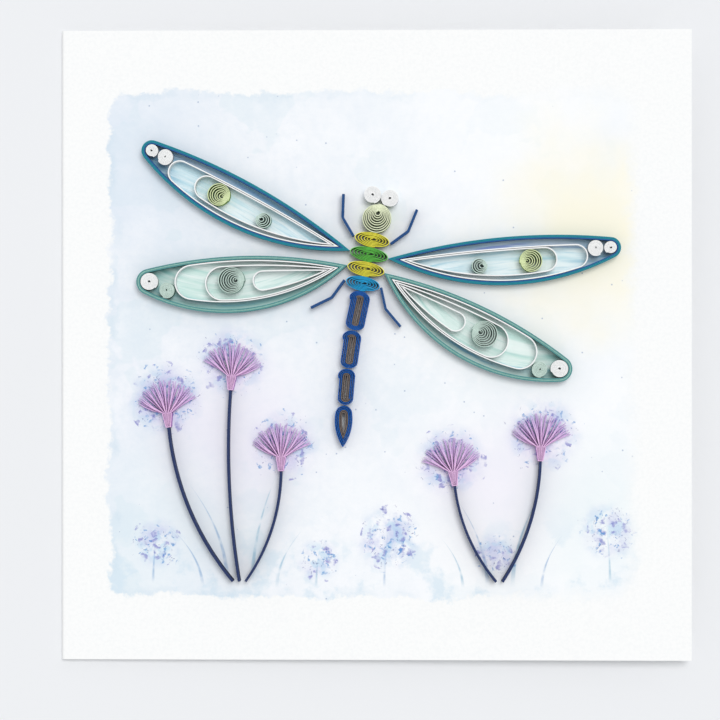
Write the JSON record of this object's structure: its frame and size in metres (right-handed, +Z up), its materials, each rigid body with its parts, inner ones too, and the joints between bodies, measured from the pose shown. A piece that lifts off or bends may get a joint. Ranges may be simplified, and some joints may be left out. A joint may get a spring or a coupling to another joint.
{
  "type": "quilled greeting card",
  "caption": "Square folded greeting card with a paper-quilled dragonfly over fringed lilac flowers, made of coils, loops and strips glued on edge to its front.",
  "frame": {"origin": "middle of the underside of the closed card", "axes": "+Z up out of the card's front, +X across the front away from the fold, +Y to the top edge"},
  "size_m": [0.1524, 0.1524, 0.0073],
  "materials": {
    "white_card": "matte",
    "white_paper": "matte",
    "teal_paper": "matte",
    "sage_paper": "matte",
    "pale_green_paper": "matte",
    "grey_green_paper": "matte",
    "cobalt_paper": "matte",
    "sky_blue_paper": "matte",
    "yellow_paper": "matte",
    "green_paper": "matte",
    "navy_paper": "matte",
    "lilac_paper": "matte"
  },
  "bodies": {
    "root": {"bloom_1": "lilac_paper", "bloom_2": "lilac_paper", "bloom_3": "lilac_paper", "bloom_4": "lilac_paper", "bloom_5": "lilac_paper", "card": "white_card", "head_coil": "pale_green_paper", "left_eye_coil": "white_paper", "left_forewing_inner_tip_coil": "white_paper", "left_forewing_long_loop": "white_paper", "left_forewing_rim": "teal_paper", "left_forewing_root_coil": "grey_green_paper", "left_forewing_round_coil": "pale_green_paper", "left_forewing_short_loop": "white_paper", "left_forewing_tip_coil": "white_paper", "left_front_leg": "navy_paper", "left_hindwing_inner_tip_coil": "grey_green_paper", "left_hindwing_long_loop": "white_paper", "left_hindwing_petal_loop": "white_paper", "left_hindwing_rim": "sage_paper", "left_hindwing_round_coil": "grey_green_paper", "left_hindwing_short_loop": "white_paper", "left_hindwing_tip_coil": "white_paper", "left_rear_leg": "navy_paper", "right_eye_coil": "white_paper", "right_forewing_inner_tip_coil": "white_paper", "right_forewing_long_loop": "white_paper", "right_forewing_rim": "teal_paper", "right_forewing_root_coil": "grey_green_paper", "right_forewing_round_coil": "pale_green_paper", "right_forewing_short_loop": "white_paper", "right_forewing_tip_coil": "white_paper", "right_front_leg": "navy_paper", "right_hindwing_inner_tip_coil": "grey_green_paper", "right_hindwing_long_loop": "white_paper", "right_hindwing_petal_loop": "white_paper", "right_hindwing_rim": "sage_paper", "right_hindwing_round_coil": "grey_green_paper", "right_hindwing_short_loop": "white_paper", "right_hindwing_tip_coil": "white_paper", "right_rear_leg": "navy_paper", "stem_1": "navy_paper", "stem_2": "navy_paper", "stem_3": "navy_paper", "stem_4": "navy_paper", "stem_5": "navy_paper", "tail_coil_1": "cobalt_paper", "tail_coil_2": "cobalt_paper", "tail_coil_3": "cobalt_paper", "tail_tip_coil": "cobalt_paper", "thorax_blue_coil": "sky_blue_paper", "thorax_front_yellow_coil": "yellow_paper", "thorax_green_coil": "green_paper", "thorax_rear_yellow_coil": "yellow_paper"}
  },
  "joints": []
}
